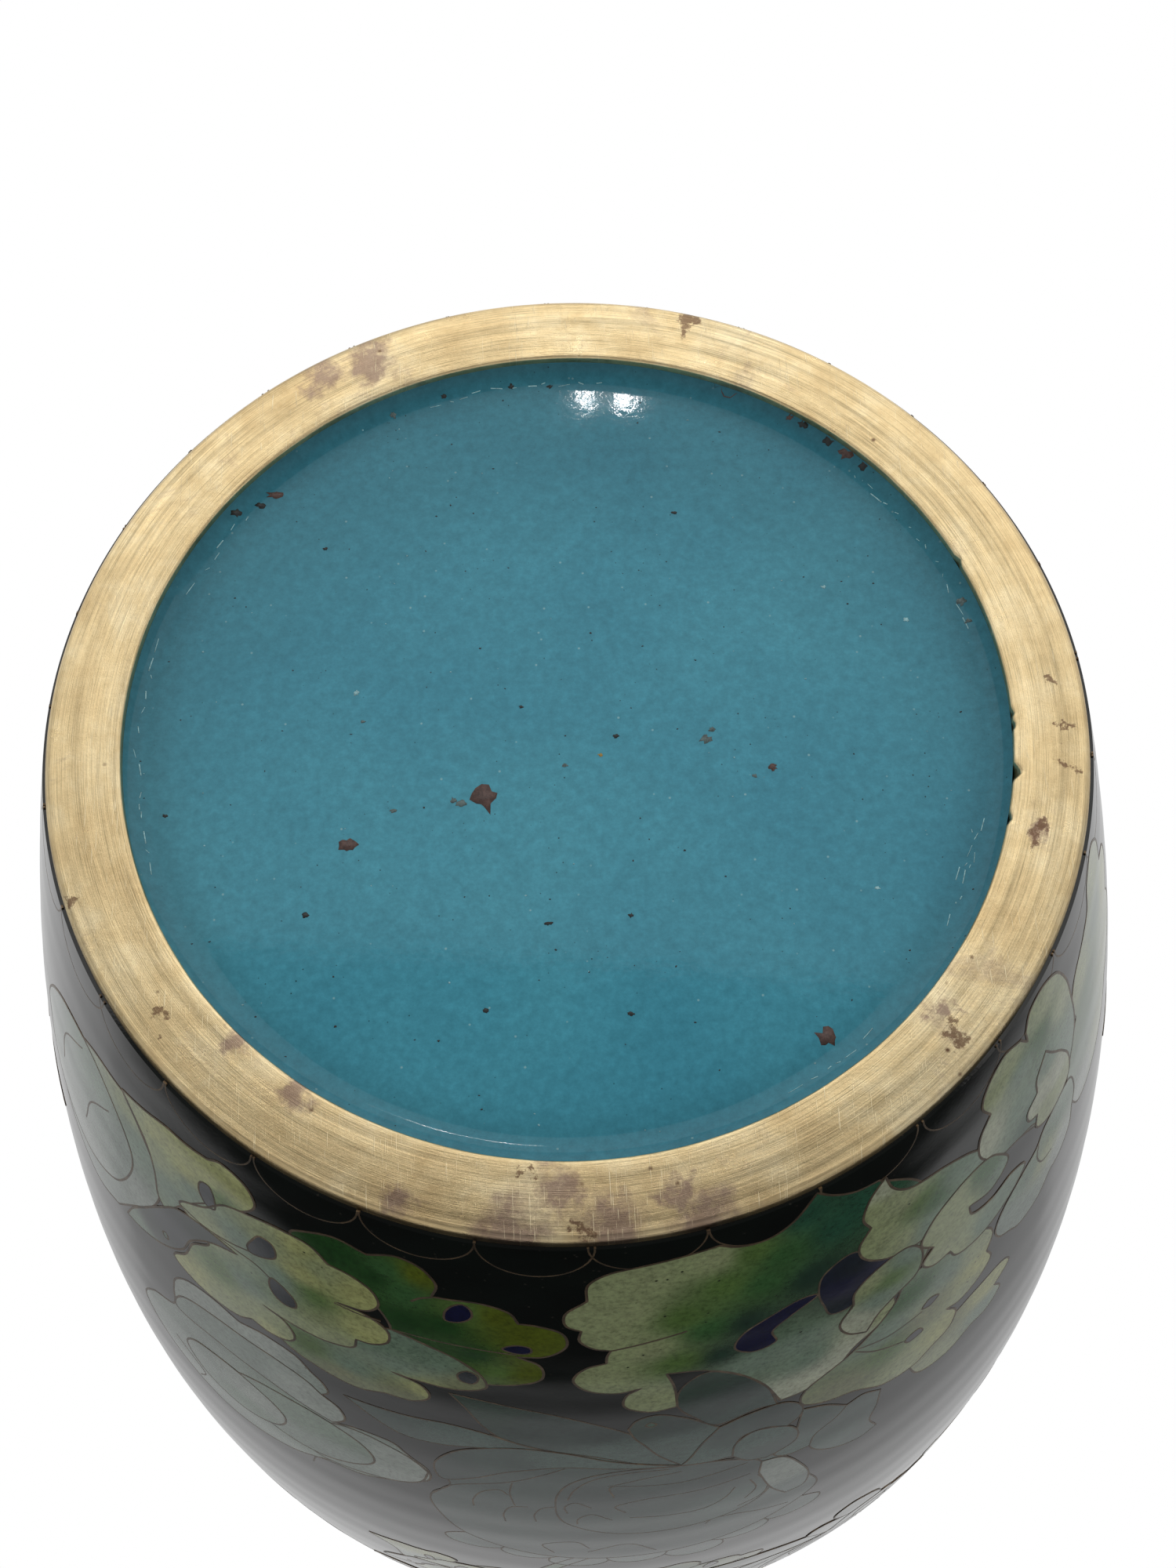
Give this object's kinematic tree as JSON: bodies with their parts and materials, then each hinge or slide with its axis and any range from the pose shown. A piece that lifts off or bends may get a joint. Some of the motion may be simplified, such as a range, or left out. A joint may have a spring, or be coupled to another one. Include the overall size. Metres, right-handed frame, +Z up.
{
  "type": "cloisonne vase",
  "caption": "Large baluster cloisonne vase in black enamel with chrysanthemums, pale blossoms and lobed green leaves, a brass foot ring and lip, and a turquoise base",
  "frame": {"origin": "middle of the foot ring's flat face, on the surface that the vase stands on", "axes": "+Z up along the axis of the vase; -Y is the side whose decoration the picture shows, and +X is to the right when that side is seen upright"},
  "size_m": [0.1508, 0.1508, 0.255],
  "materials": {
    "brass": "worn satin",
    "wire": "polished flush, dull",
    "copper": "spun copper, plain",
    "solder": "silver braze",
    "turquoise_enamel": "glossy, fine mottling and pits",
    "black_enamel": "glossy",
    "green_enamel": "glossy, shaded pale to deep green",
    "celadon_enamel": "glossy, shaded grey green",
    "pearl_enamel": "glossy, shaded pale",
    "navy_enamel": "glossy"
  },
  "bodies": {
    "root": {"foot_ring": "brass", "foot_braze": "solder", "base_plate": "copper", "base_braze": "solder", "base_enamel": "turquoise_enamel", "floor_lining": "turquoise_enamel", "lower_shell": "copper", "belly_braze": "solder", "upper_shell": "copper", "neck_braze": "solder", "neck_tube": "copper", "lip_braze": "solder", "mouth_rim": "brass", "lower_lining": "turquoise_enamel", "upper_lining": "turquoise_enamel", "neck_lining": "turquoise_enamel", "foot_ground": "black_enamel", "lower_ground": "black_enamel", "upper_ground": "black_enamel", "neck_ground": "black_enamel", "lip_ground": "black_enamel", "foot_scale_enamel": "black_enamel", "foot_scale_wires": "wire", "neck_scale_enamel": "black_enamel", "neck_scale_wires": "wire", "neck_border_wire": "wire", "leaf_enamel": "green_enamel", "leaf_wires": "wire", "leaf_spots": "navy_enamel", "chrysanthemum_enamel": "celadon_enamel", "chrysanthemum_wires": "wire", "peony_enamel": "pearl_enamel", "peony_wires": "wire"}
  },
  "joints": []
}
